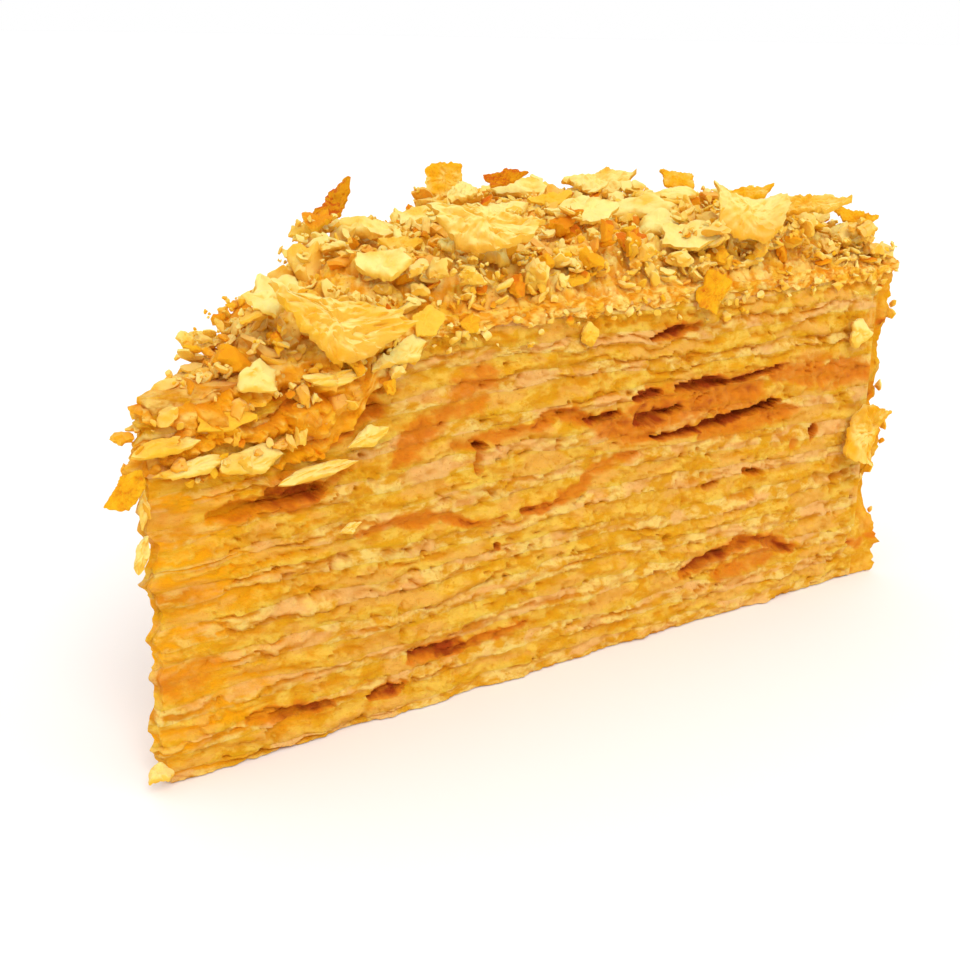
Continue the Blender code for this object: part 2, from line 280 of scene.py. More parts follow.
class Shader:
    """Small helper that adds and joins shader nodes."""

    def __init__(self, name):
        self.material = bpy.data.materials.new(name)
        self.material.use_nodes = True
        self.nodes = self.material.node_tree.nodes
        self.links = self.material.node_tree.links
        self.surface = self.nodes["Principled BSDF"]
        self.place = self.make("TexCoord", {}).outputs["Object"]
        # look carries browned, painted shade and painted glowing light for every point
        look = self.make("Attribute", {}, attribute_name="look").outputs["Color"]
        self.browned, self.deep, self.painted_glow = self.make("SeparateColor", {"Color": look}).outputs
        # which way each face turns, read to paint shade on faces turned down
        facing = self.make("NewGeometry", {}).outputs["Normal"]
        self.up = self.make("SeparateXYZ", {"Vector": facing}).outputs["Z"]

    def make(self, kind, inputs, **settings):
        """New node with its settings, and a value or a link on each of its inputs."""
        node = self.nodes.new("ShaderNode" + kind)
        for name, value in settings.items():
            setattr(node, name, value)
        for name, value in inputs.items():
            self.join(value, node.inputs[name])
        return node

    def join(self, value, socket):
        """Link a socket, or set a plain value."""
        if isinstance(value, bpy.types.NodeSocket):
            self.links.new(value, socket)
        else:
            socket.default_value = (*value, 1.0) if socket.type == "RGBA" else value

    def noise(self, scale, detail=4.0, roughness=0.6, distortion=0.0, stretch=None):
        """Noise texture in object space; scale is in features per metre."""
        place = self.place
        if stretch:
            place = self.make("Mapping", {"Vector": place, "Scale": stretch}).outputs[0]
        values = {"Vector": place, "Scale": scale, "Detail": detail, "Roughness": roughness}
        values["Distortion"] = distortion
        return self.make("TexNoise", values).outputs[0]

    def ramp(self, value, low, high, to_low=0.0, to_high=1.0):
        """Remap a value, clamped and smooth."""
        values = {"Value": value, "From Min": low, "From Max": high, "To Min": to_low, "To Max": to_high}
        return self.make("MapRange", values, interpolation_type="SMOOTHSTEP").outputs[0]

    def times(self, first, second):
        """Product of two values."""
        return self.make("Math", {0: first, 1: second}, operation="MULTIPLY").outputs[0]

    def mix(self, factor, first, second):
        """Colour mix."""
        node = self.make("Mix", {"Factor": factor}, data_type="RGBA")
        colours = [socket for socket in node.inputs if socket.type == "RGBA"]
        self.join(first, colours[0])
        self.join(second, colours[1])
        return next(socket for socket in node.outputs if socket.type == "RGBA")

    def finish(self, colour, roughness, height, bump=0.5, distance=0.3 * MM, scatter=0.0, depth=2.5 * MM):
        """Wire colour, roughness and bump into the surface."""
        node = self.make("Bump", {"Strength": bump, "Distance": distance, "Height": height})
        values = {"Base Color": colour, "Roughness": roughness, "Normal": node.outputs[0]}
        values |= {"Subsurface Weight": scatter, "Subsurface Scale": depth}
        values |= {"Subsurface Radius": SCATTER_REACH, "Specular IOR Level": SHEEN}
        for name, value in values.items():
            self.join(value, self.surface.inputs[name])
        return self.material


# Colours as a screen shows them. At the cuts: pale, rosy, ochre and a painted shade colour for grooves and
# faces turned down, then the scatter and specks.
CUT_COLOURS = {
    "pastry": ((246, 205, 108), (242, 180, 104), (226, 158, 26), (214, 130, 0), 0.18, 0.45),
    "custard": ((242, 192, 72), (238, 174, 76), (228, 160, 18), (222, 142, 0), 0.22, 0.45),
    "packed": ((255, 228, 130), (254, 214, 104), (250, 194, 54), (242, 154, 4), 0.12, 0.70),
}
# Crumbs and flakes: pale, golden and brown; golden is also the painted shade on faces turned sideways and
# down.
CRUMB_COLOURS = {
    "crumb": ((255, 230, 134), (253, 190, 34), (222, 112, 10)),
    "chip": ((255, 234, 142), (253, 192, 38), (224, 112, 10)),
    "flake": ((255, 232, 140), (250, 184, 24), (208, 98, 8)),
}


def cut_material(name, pale, rosy, ochre, deep, scatter, speckled):
    """Cut edge of the cake: ochre with pale and rosy patches, toasted where browned, with painted shade in
    its grooves and on faces turned down, and painted glowing orange where light would come through the thin
    pastry.
    """
    s = Shader(name)
    pale, rosy, ochre, deep = (linear(*colour) for colour in (pale, rosy, ochre, deep))
    colour = s.mix(s.ramp(s.noise(300, 4, 0.6, 0.3, (1.0, 1.0, 1.8)), 0.40, 0.60), ochre, pale)
    colour = s.mix(s.ramp(s.noise(150, 3, 0.5, 0.0, (1.0, 1.0, 2.4)), 0.48, 0.62, 0.0, 0.85), colour, rosy)
    specks = s.ramp(s.noise(1700, 3), 0.60, 0.70)
    colour = s.mix(s.times(specks, speckled), colour, linear(206, 118, 18))
    # painted shade: faces turned down take the shade colour
    colour = s.mix(s.ramp(s.up, 0.15, -0.55, 0.0, 0.55), colour, deep)
    # painted shade in grooves and hollows
    colour = s.mix(s.ramp(s.deep, 0.02, 0.80, 0.0, 0.90), colour, deep)
    colour = s.mix(s.ramp(s.browned, 0.06, 0.55, 0.0, 0.90), colour, linear(224, 126, 16))
    colour = s.mix(s.ramp(s.browned, 0.50, 1.0, 0.0, 0.95), colour, linear(168, 64, 10))
    # painted glowing orange where light would come through the thin pastry
    colour = s.mix(s.painted_glow, colour, linear(255, 170, 0))
    grain = s.noise(1300, 5, 0.72, 0.3, (1.0, 1.0, 1.5))
    return s.finish(colour, 0.66, grain, 0.9, 0.5 * MM, scatter)


def crumb_material(name, pale, golden, brown):
    """Dry crumbs and flakes: pale, softly golden in patches, toned by the browned value of each, with
    painted golden shade on faces turned sideways and down and on buried crumbs, and painted glowing orange
    near the thin tip.
    """
    s = Shader(name)
    pale, golden, brown = (linear(*colour) for colour in (pale, golden, brown))
    patches = s.ramp(s.noise(170, 3, 0.5), 0.48, 0.68)
    colour = s.mix(s.times(patches, 0.75), pale, golden)
    colour = s.mix(s.ramp(s.browned, 0.30, 0.70), colour, golden)
    colour = s.mix(s.ramp(s.browned, 0.65, 1.0), colour, brown)
    blisters = s.ramp(s.noise(1100, 3), 0.60, 0.72)
    colour = s.mix(s.times(blisters, 0.22), colour, golden)
    # painted shade: faces turned sideways and down go golden
    colour = s.mix(s.ramp(s.up, 0.75, -0.30, 0.0, 0.80), colour, golden)
    # painted shade in orange on buried crumbs and the shaded side of flakes
    colour = s.mix(s.ramp(s.deep, 0.05, 0.9, 0.0, 0.9), colour, linear(246, 152, 0))
    # painted glowing orange near the thin tip
    colour = s.mix(s.painted_glow, colour, linear(255, 166, 0))
    grain = s.noise(1500, 5, 0.75)
    return s.finish(colour, 0.7, grain, 0.8, 0.5 * MM, 0.18, 1.2 * MM)


# ---- the outline of the slice


def wedge_loop(cut, outer, step, closed):
    """Outline of a wedge: out along the front cut, round the rim and in along the back cut.

    Gives X and Y from the apex, the outward normals, the distance from the apex, and the side, from -1
    on the front cut to 1 on the back cut. Point i and point -1-i mirror each other. A closed outline
    starts with two points of the blunt tip.
    """
    arc_count = int(outer * HALF_ANGLE / step)
    arc = HALF_ANGLE * (1.0 - (np.arange(arc_count) + 1.0) / (arc_count + 0.5))
    tip = HALF_ANGLE * np.array([0.25, 0.65] if closed else [])
    radius = np.concatenate([np.full(len(tip), cut[0]), cut, np.full(arc_count, outer)])
    angle = -np.concatenate([tip, np.full(len(cut), HALF_ANGLE), arc])
    radius = np.concatenate([radius, radius[::-1]])
    angle = np.concatenate([angle, -angle[::-1]])
    x, y = radius * np.cos(angle), radius * np.sin(angle)
    index = np.arange(-3, len(x) + 3)
    index = index % len(x) if closed else np.clip(index, 0, len(x) - 1)
    along_x, along_y = x[index[6:]] - x[index[:-6]], y[index[6:]] - y[index[:-6]]
    length = np.hypot(along_x, along_y)
    return x, y, along_y / length, -along_x / length, radius, angle / HALF_ANGLE


STACK_CUT = np.linspace(TIP_RADIUS, STACK_RADIUS, int((STACK_RADIUS - TIP_RADIUS) / CUT_STEP))
STACK_LOOP = wedge_loop(STACK_CUT, STACK_RADIUS, STACK_RIM_STEP, True)
LOOP_X, LOOP_Y, _, _, LOOP_RADIUS, LOOP_SIDE = STACK_LOOP
LOOP_COUNT = len(LOOP_X)
RIM_SHARE = smooth(LOOP_RADIUS, STACK_RADIUS - 3 * MM, STACK_RADIUS)


def node_levels(name):
    """Bottom and top height of a CAD layer round the loop, read from its outline along both cuts."""
    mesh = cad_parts[name].data
    points = np.empty(len(mesh.vertices) * 3, np.float32)
    mesh.vertices.foreach_get("co", points)
    points = points.reshape(-1, 3) - np.array([APEX.x, APEX.y, 0.0])
    radius = np.hypot(points[:, 0], points[:, 1])
    side = np.arctan2(points[:, 1], points[:, 0]) / HALF_ANGLE
    ends = []
    for sign in (-1.0, 1.0):
        near = (side * sign > 0.8) & (radius > 4 * MM)
        order = np.argsort(radius[near])
        line_radius = radius[near][order]
        line_height = points[near][order, 2]
        bins = np.linspace(4 * MM, STACK_RADIUS, 13)
        index = np.clip(np.searchsorted(bins, line_radius) - 1, 0, 11)
        kept = [b for b in range(12) if (index == b).sum() >= 2]
        centre = [line_radius[index == b].mean() for b in kept]
        low = [line_height[index == b].min() for b in kept]
        high = [line_height[index == b].max() for b in kept]
        ends.append((np.interp(LOOP_RADIUS, centre, low), np.interp(LOOP_RADIUS, centre, high)))
    share = (np.clip(LOOP_SIDE, -1, 1) + 1.0) / 2.0
    share = np.where(LOOP_RADIUS < STACK_RADIUS - 0.1 * MM, np.where(LOOP_SIDE < 0, 0.0, 1.0), share)
    return [ends[0][i] * (1.0 - share) + ends[1][i] * share for i in range(2)]


def interfaces():
    """Heights of the 24 surfaces that part the layers, each with its own waves."""
    levels = []
    for layer in range(LAYERS):
        number = layer // 2 + 1
        levels.append(node_levels(f"cream_{number:02d}" if layer % 2 else f"sheet_{number:02d}"))
    surfaces = [np.zeros(LOOP_COUNT)]
    for lower, upper in zip(levels[:-1], levels[1:]):
        surfaces.append((lower[1] + upper[0]) / 2)
    surfaces.append(levels[-1][1])
    for index in range(1, LAYERS + 1):
        place = stacked(LOOP_X, LOOP_Y, 0.02 * index)
        wave = 0.55 * ripple(place, 11, 11 + index) + 0.35 * ripple(place, 3.6, 51 + index)
        surfaces[index] = surfaces[index] + wave * MM
        surfaces[index] = np.maximum(surfaces[index], surfaces[index - 1] + 0.55 * MM)
    return surfaces


SURFACES = interfaces()


def streak_fields(distance, height):
    """Browned strength and hollow depth, in mm, from the table of streaks, with ragged outlines."""
    along, level = distance / MM, height / MM
    probe = stacked(along, level, 0.0)
    along = along + 1.6 * noise(probe, (7, 3, 1), 201)
    level = level + 0.55 * noise(probe, (5, 2.5, 1), 202) + 0.25 * noise(probe, (1.6, 1.2, 1), 203)
    ragged = 0.45 * noise(probe, (1.7, 1.1, 1), 204) + 0.25 * noise(probe, (0.7, 0.6, 1), 205)
    browned, hollow = np.zeros(along.shape), np.zeros(along.shape)
    for start, start_level, end, end_level, half, strength, depth in STREAKS:
        run, climb = end - start, end_level - start_level
        part = ((along - start) * run + (level - start_level) * climb) / (run * run + climb * climb)
        part = np.clip(part, 0.0, 1.0)
        away = np.hypot(along - start - part * run, level - start_level - part * climb)
        taper = 1.0 - 0.45 * np.abs(2.0 * part - 1.0) ** 3
        inside = 1.0 - away / (half * taper)
        browned = np.maximum(browned, strength * smooth(inside + ragged, -1.3, 0.6))
        hollow = np.maximum(hollow, 0.75 * depth * smooth(inside + 0.8 * ragged, -0.15, 0.55))
    mottle = 1.0 + 0.45 * noise(probe, (1.3, 0.9, 1), 206) + 0.30 * noise(probe, (3.2, 1.6, 1), 207)
    return browned * mottle, hollow


def cut_fields(height):
    """Browned strength and hollow depth at heights (rows by loop points), both cuts and the rim."""
    distance = np.broadcast_to(LOOP_RADIUS, height.shape)
    back = np.broadcast_to(LOOP_SIDE > 0, height.shape)
    mirrored = np.where(back, SLICE_LENGTH * 1.02 - distance, distance)
    level = np.where(back, STACK_TOP * 0.98 - height, height)
    return streak_fields(mirrored, level)


# ---- sheets and cream


def ring_solid(loop, heights, offsets, looks, insets):
    """Closed solid from rows of points round a loop, capped across the wedge, and the look of each point.

    heights, offsets and looks have one row for each ring of the wall, top first; more rings run inwards
    over the top and the bottom, by the insets, before the caps are bridged.
    """
    loop_x, loop_y, out_x, out_y, loop_radius, _ = loop
    half_width = loop_radius * math.sin(HALF_ANGLE)
    rings = list(zip(heights, offsets))
    for inset in insets:
        inward = -np.minimum(inset, 0.75 * half_width)
        rings.insert(0, (heights[0], np.minimum(offsets[0], 0.0) * 0.3 + inward))
        rings.append((heights[-1], np.minimum(offsets[-1], 0.0) * 0.3 + inward))
    points = [
        stacked(loop_x + out_x * offset + APEX.x, loop_y + out_y * offset + APEX.y, height)
        for height, offset in rings
    ]
    rows, count = len(points), len(loop_x)
    index = np.arange(rows * count).reshape(rows, count)
    front = np.arange(count // 2 - 1)
    mirror = count - 1 - front
    cap = np.concatenate([stacked(front, front + 1, mirror - 1), stacked(front, mirror - 1, mirror)])
    faces = np.concatenate([ring_faces(index[:-1], index[1:]), cap, cap[:, ::-1] + (rows - 1) * count])
    look = np.pad(stacked(*looks), ((len(insets), len(insets)), (0, 0), (0, 0)), "edge")
    return np.concatenate(points), faces, look.reshape(-1, 3)


def relief(place, level):
    """How far the cut stands out, in mm, and how far into a groove each point lies, which later sets its
    painted shade.

    level counts the layers upwards. Every sheet and its cream break into a few soft ledges, furthest
    out at the ragged lower edge and drawn back under the ledge above.
    """
    warp = 0.40 * ripple(place, (15, 15, 7), 300) + 0.50 * ripple(place, (5, 5, 3), 301)
    warp = warp + 0.30 * ripple(place, (1.9, 1.9, 1.3), 302) + 0.12 * ripple(place, 0.7, 303)
    ledge = LEDGES_PER_PAIR * level / 2.0 + warp + 0.15
    rise = ledge - np.floor(ledge)
    distance = np.hypot(place[..., 0], place[..., 1])
    crisp = np.maximum(smooth(distance, 55 * MM, 80 * MM) * smooth(place[..., 2], 36 * MM, 46 * MM),
                       1.0 - smooth(distance, 12 * MM, 40 * MM))
    strength = smooth(ripple(place, (8, 8, 2), 304) + 0.5 * crisp, -0.20, 0.75)
    edge = 1.0 - smooth(rise, 0.0, 0.20)
    out = (0.08 + 0.80 * strength) * ((1.0 - rise) ** 0.8 - 0.5 * edge)
    fine_ledge = 2.3 * ledge + 0.6 * ripple(place, (3, 3, 1.5), 305)
    fine_rise = fine_ledge - np.floor(fine_ledge)
    fine_strength = smooth(ripple(place, (5, 5, 1.8), 306), 0.0, 0.6)
    out = out + 0.26 * fine_strength * (1.0 - fine_rise)
    rough = 0.38 * ripple(place, (2.4, 2.4, 1.7), 307) + 0.30 * ripple(place, 1.0, 308)
    swell = 0.55 * ripple(place, (16, 16, 9), 309) + 0.42 * ripple(place, (6, 6, 3.5), 310)
    pits = smooth(ripple(place, (1.5, 1.5, 1.0), 311), 0.28, 0.62)
    pits = pits * smooth(ripple(place, 9, 312), -0.25, 0.25)
    groove = smooth(rise, 0.50, 0.95) * strength + 0.5 * smooth(fine_rise, 0.6, 1.0) * fine_strength
    groove = np.clip(groove + 0.6 * pits - 1.2 * rough - 0.35 * swell, 0.0, 1.0)
    return out - 0.50 + rough + swell - 0.7 * pits, groove


def layer_piece(layer, materials):
    """One sheet or one cream layer, with its ragged and smeared edge."""
    is_cream = layer % 2 == 1
    part = np.linspace(1.0, 0.0, LAYER_ROWS)[:, None]
    low, high = SURFACES[layer], SURFACES[layer + 1]
    height = low + (high - low) * part
    place = stacked(LOOP_X, LOOP_Y, height)
    browned, hollow = cut_fields(height)
    offset, groove = relief(place, layer + part)
    offset = offset - 0.8 * hollow
    # painted shade in the grooves and hollows of the cut
    deep = np.clip(0.9 * groove + 0.30 * hollow, 0.0, 1.0)
    tip_fade = smooth(LOOP_RADIUS, TIP_RADIUS, TIP_RADIUS + 14 * MM)
    offset = np.where(offset < 0, offset * (0.25 + 0.75 * tip_fade), offset)
    narrow = 0.7 * LOOP_RADIUS * math.sin(HALF_ANGLE) / MM
    offset = np.maximum(offset, -narrow)
    offset = offset * (1.0 - RIM_SHARE) - 0.6 * RIM_SHARE
    # painted glowing orange where light comes through the thin tip, strongest in the painted shade
    near_tip = 1.0 - smooth(LOOP_RADIUS, 2 * MM, 34 * MM)
    painted_glow = near_tip * smooth(0.5 + 0.9 * ripple(place, (7, 7, 4), 500), 0.0, 1.0)
    painted_glow = painted_glow * (0.30 + 0.70 * smooth(deep - 0.25 * ripple(place, (3, 3, 1.2), 501), 0.0, 0.6))
    if layer == 0:
        height = np.maximum(height, 0.0)
    looks = (browned, deep, painted_glow)
    points, faces, look = ring_solid(STACK_LOOP, height, offset * MM, looks, (1.2 * MM, 4.0 * MM))
    at_height = stacked(0.0, 0.0, points[:, 2])
    reach = 0.3 + 1.9 * ripple(at_height, 4.5, 510) + 1.2 * ripple(at_height, 1.7, 511)
    points[:, 0] -= reach * MM * (1.0 - smooth(points[:, 0] - APEX.x, 2 * MM, 11 * MM))
    number = layer // 2 + 1
    node = f"cream_{number:02d}" if is_cream else f"sheet_{number:02d}"
    name = f"custard_{number:02d}" if is_cream else f"leaves_{number:02d}"
    material = materials["custard"] if is_cream else materials["pastry"]
    slot = "cream" if is_cream else "pastry"
    make_piece(name, points, faces, look, material, (node,), slot, WALL_ANGLE)


# ---- rim coat


def rim_coat_piece(materials):
    """Cream and crumbs pressed on the rim, lumpy, with the layers showing through as uneven ridges."""
    outer = SLICE_LENGTH - 0.6 * MM
    loop = wedge_loop(np.linspace(SLICE_LENGTH - 12 * MM, outer, 22), outer, RIM_STEP, False)
    loop_x, loop_y, _, _, radius, _ = loop
    rows = int(STACK_TOP / (0.48 * MM))
    part = np.linspace(1.0, 0.0, rows)[:, None]
    height = np.broadcast_to(part * (STACK_TOP + 0.5 * MM), (rows, len(loop_x))).copy()
    place = stacked(loop_x, loop_y, height)
    steps = np.hypot(np.diff(loop_x, prepend=loop_x[0]), np.diff(loop_y, prepend=loop_y[0]))
    around = np.broadcast_to(np.cumsum(steps), height.shape)
    packed, packed_groove, packed_browned = heap_relief(around, height, 600)
    drift = 5.0 * noise(place * np.array([1.0, 1.0, 0.0]), 22 * MM, 610)
    levels, reaches = zip(*RIM_PROFILE)
    profile = np.interp(height / MM + drift + 1.2 * ripple(place, 5, 611), levels, reaches)
    offset = 0.8 * profile + 0.9 * ripple(place, (8, 8, 6), 600) + 0.5 * ripple(place, 3.2, 601)
    offset += 0.80 * packed + 0.2 * ripple(place, 0.9, 603) - 0.3
    offset = np.where(part > 0.985, offset - 0.8, offset)
    bury = 1.0 - smooth(radius, SLICE_LENGTH - 11 * MM, SLICE_LENGTH - 4.5 * MM)
    ragged = smooth(0.5 + ripple(place, 4, 605), 0.0, 1.0)
    on_cut = radius < SLICE_LENGTH - 0.7 * MM
    offset = np.where(on_cut, 0.45 * offset - 0.4, offset) - 2.6 * bury * (0.4 + ragged)
    # painted shade where the coat is set back and in the grooves of the packed crumbs
    deep = np.clip(0.35 * packed_groove + (0.2 - offset) / 4.5, 0.0, 1.0)
    browned = 0.85 * smooth(ripple(place, (9, 9, 3), 606), 0.10, 0.55) + 0.35 * packed_browned
    browned *= smooth(ripple(place, 2.5, 607), -0.4, 0.3)
    # painted glowing orange in random patches over the rim coat
    painted_glow = 0.30 * smooth(ripple(place, 7, 608), -0.3, 0.5)
    points, faces, look = ring_solid(loop, height, offset * MM, (browned, deep, painted_glow), (2.0 * MM,))
    material, slot = materials["custard"], "rim_coat"
    make_piece("rim_custard", points, faces, look, material, ("rim_coat",), slot, WALL_ANGLE)


# ---- crumb heap


class Pile:
    """Height of what lies on top of the slice, raised by each crumb that is dropped on it."""

    cell = 0.5 * MM

    def __init__(self, solid, sink):
        self.low_x, self.low_y = APEX.x - 6 * MM, -50 * MM
        self.shape = (int(150 * MM / self.cell), int(100 * MM / self.cell))
        self.height = np.full(self.shape, -1.0)
        down = Vector((0.0, 0.0, -1.0))
        for i, j in np.ndindex(self.shape):
            x, y = self.low_x + i * self.cell, self.low_y + j * self.cell
            hit = solid.ray_cast(Vector((x, y, 0.5)), down)[0]
            if hit:
                self.height[i, j] = hit.z - sink
        self.wide = self.height.copy()
        for _ in range(8):
            near = [np.roll(self.wide, step, axis) for axis in (0, 1) for step in (-1, 1)]
            self.wide = np.where(self.wide > 0.0, self.wide, np.max(near, axis=0))

    def at(self, x, y):
        """Height at arrays of places, between cells."""
        u = np.clip((np.asarray(x) - self.low_x) / self.cell, 0, self.shape[0] - 1.001)
        v = np.clip((np.asarray(y) - self.low_y) / self.cell, 0, self.shape[1] - 1.001)
        i, j = u.astype(int), v.astype(int)
        u, v = u - i, v - j
        h = self.wide
        near = h[i, j] * (1 - v) + h[i, j + 1] * v
        far = h[i + 1, j] * (1 - v) + h[i + 1, j + 1] * v
        return near * (1 - u) + far * u

    def drop(self, x, y, radius, thickness):
        """Rest a crumb on the pile and return the height of its middle, or None off the slice."""
        i, j = int((x - self.low_x) / self.cell), int((y - self.low_y) / self.cell)
        reach = max(1, int(0.6 * radius / self.cell))
        patch = self.height[i - reach : i + reach + 1, j - reach : j + reach + 1]
        held = patch[patch > 0.0]
        if held.size < 0.55 * patch.size:
            return None
        rest = float(np.percentile(held, 70)) + 0.30 * thickness
        np.maximum(patch, np.where(patch > 0.0, rest + 0.25 * thickness, patch), out=patch)
        return rest


def zipped_rows(counts):
    """Triangles that join rows of points, which may differ in count."""
    faces, start = [], 0
    for count, following in zip(counts[:-1], counts[1:]):
        a, b, other = 0, 0, start + count
        while a < count - 1 or b < following - 1:
            if b < following - 1 and (a == count - 1 or (b + 1) * (count - 1) <= (a + 1) * (following - 1)):
                faces.append((start + a, other + b, other + b + 1))
                b += 1
            else:
                faces.append((start + a, other + b, start + a + 1))
                a += 1
        start = other
    return np.array(faces)


def heap_relief(across, along, seed):
    """Packed crumbs and chips, in mm: height, groove and browned value."""
    place = stacked(across, along, 0.0)
    shift = 0.5 * MM * ripple(place, 2.5, seed), 0.5 * MM * ripple(place, 2.5, seed + 1)
    broad, broad_groove, broad_value = bits(across + shift[0], along + shift[1], 3.6 * MM, seed + 2)
    middle, middle_groove, middle_value = bits(across - shift[1], along + shift[0], 1.7 * MM, seed + 3)
    fine, fine_groove, fine_value = bits(across, along, 0.85 * MM, seed + 4)
    height = 0.75 * broad + 0.50 * middle + 0.34 * fine + 0.22 * ripple(place, 0.8, seed + 6)
    groove = 0.45 * broad_groove + 0.35 * middle_groove + 0.25 * fine_groove - 0.35 * height
    groove = np.clip(groove, 0.0, 1.0)
    toasted = smooth(ripple(place, 7, seed + 5), 0.05, 0.55)
    browned = 0.45 * broad_value ** 2 + 0.35 * middle_value ** 3 + 0.55 * toasted * fine_value
    return height, groove, browned


def heap_skirt(x, y, z):
    """Rows of points, and their looks, that hang from the heap's outline over the cuts and the rim."""
    out_x, out_y = np.roll(y, -2) - np.roll(y, 2), np.roll(x, 2) - np.roll(x, -2)
    length = np.maximum(np.hypot(out_x, out_y), 1e-9)
    flat = stacked(x, y, 0.0)
    drape = 1.0 - smooth(np.hypot(x, y) + 4 * MM * ripple(flat, 6, 720), 24 * MM, 42 * MM)
    low = STACK_TOP - (1.6 + 14.5 * drape) * MM
    low = low + 1.5 * MM * ripple(flat, 3.5, 721) + 0.9 * MM * ripple(flat, 1.3, 722)
    low = np.minimum(low, z - 1.2 * MM)
    around = np.concatenate([[0.0], np.cumsum(np.hypot(np.diff(x), np.diff(y)))])
    rows, looks = [], []
    for row in range(1, SKIRT_ROWS + 1):
        part = row / SKIRT_ROWS
        level = z + (low - z) * part
        height, groove, browned = heap_relief(around, level, 730)
        place = stacked(x, y, level)
        bulge = 0.5 + drape * (0.9 + 1.1 * ripple(place, (7, 7, 4), 740)) * math.sin(math.pi * part) ** 0.6
        torn = 2.4 * drape * smooth(ripple(place, (8, 8, 3), 741), 0.0, 0.45)
        offset = bulge + (0.45 + 0.75 * drape) * height - torn
        offset = offset + 0.22 * drape * ripple(place, 0.9, 743)
        offset = np.where(part > 0.92, -2.2, offset) * MM
        rows.append(stacked(x + out_x / length * offset, y + out_y / length * offset, level))
        toasted = np.clip(0.6 * browned - 0.16 + 0.25 * drape * torn, 0.0, 1.0)
        # painted shade in grooves, torn spots and the drape over the tip
        deep = np.clip(groove + 0.3 * torn + 0.25 * drape, 0.0, 1.0)
        # painted glowing orange on the drape over the thin tip
        painted_drape_glow = drape * (0.10 + 0.60 * smooth(ripple(place, (9, 9, 3.5), 742), -0.2, 0.5))
        looks.append(stacked(toasted, deep, painted_drape_glow))
    return rows, looks


def heap_core_piece(pile, material):
    """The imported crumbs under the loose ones, spilling raggedly over the cuts, most of all at the tip."""
    radii = np.arange(TIP_RADIUS * 0.9, SLICE_LENGTH - 0.6 * MM, HEAP_STEP)
    counts = [max(5, int(2.0 * HALF_ANGLE * r / HEAP_STEP)) for r in radii]
    radius = np.concatenate([np.full(n, r) for n, r in zip(counts, radii)])
    side = np.concatenate([np.linspace(-0.99, 0.99, n) for n in counts])
    x, y = radius * np.cos(side * HALF_ANGLE), radius * np.sin(side * HALF_ANGLE)
    height, groove, browned = heap_relief(x, y, 700)
    from_edge = np.minimum((1.0 - np.abs(side)) * radius * math.sin(HALF_ANGLE), SLICE_LENGTH - radius)
    base = pile.at(x + APEX.x, y + APEX.y)
    z = base + height * MM * (0.5 + 0.5 * smooth(from_edge, 0.0, 2.0 * MM))
    near_tip = 1.0 - smooth(radius, 10 * MM, 42 * MM)
    # browned, painted shade in the grooves, and painted glowing orange near the tip
    look = stacked(np.clip(0.6 * browned - 0.16, 0.0, 1.0), 0.75 * groove, 0.25 * near_tip)
    starts = np.concatenate([[0], np.cumsum(counts)])
    left, right = starts[:-1], starts[1:] - 1
    last_row, first_row = np.arange(starts[-2], starts[-1]), np.arange(0, counts[0])
    rim = np.concatenate([left, last_row[1:-1], right[::-1], first_row[-2:0:-1]])
    skirts, skirt_looks = heap_skirt(x[rim], y[rim], z[rim])
    points = np.concatenate([stacked(x, y, z), *skirts]) + np.array([APEX.x, APEX.y, 0.0])
    rings = [rim] + [len(x) + row * len(rim) + np.arange(len(rim)) for row in range(SKIRT_ROWS)]
    faces = [zipped_rows(counts)] + [ring_faces(*pair) for pair in zip(rings[:-1], rings[1:])]
    base_of = dict(zip(rim.tolist(), rings[-1].tolist()))
    under = []
    for row in range(len(counts) - 1):
        corners = [base_of[int(v)] for v in (left[row], right[row], right[row + 1], left[row + 1])]
        under += [(corners[0], corners[1], corners[2]), (corners[0], corners[2], corners[3])]
    end, start = [base_of[int(v)] for v in last_row], [base_of[int(v)] for v in first_row]
    under += [(end[0], end[c + 1], end[c]) for c in range(1, len(end) - 1)]
    under += [(start[0], start[c], start[c + 1]) for c in range(1, len(start) - 1)]
    faces = np.concatenate([*faces, np.array(under)])
    look = np.concatenate([look, *skirt_looks])
    make_piece("heap_core", points, faces, look, material, ("crumb_heap",), "crumbs", 62.0)


# ---- crumb and flake shapes


def lump_shape(level, seed, flats=7, rough=0.30):
    """Broken crumb about one unit in radius: a ball cut by flats and roughened."""
    shape = bmesh.new()
    bmesh.ops.create_icosphere(shape, subdivisions=level, radius=1.0)
    points = np.array([v.co for v in shape.verts])
    faces = np.array([[v.index for v in f.verts] for f in shape.faces])
    shape.free()
    rng = np.random.default_rng(seed)
    for _ in range(flats):
        normal = rng.normal(size=3)
        normal /= np.linalg.norm(normal)
        excess = np.maximum(points @ normal - rng.uniform(0.35, 0.8), 0.0)
        points -= excess[:, None] * normal * 0.95
    broad, fine = noise(points, 0.75, seed)[:, None], noise(points, 0.33, seed + 1)[:, None]
    points *= 1.0 + rough * broad + 0.6 * rough * fine
    return points, faces


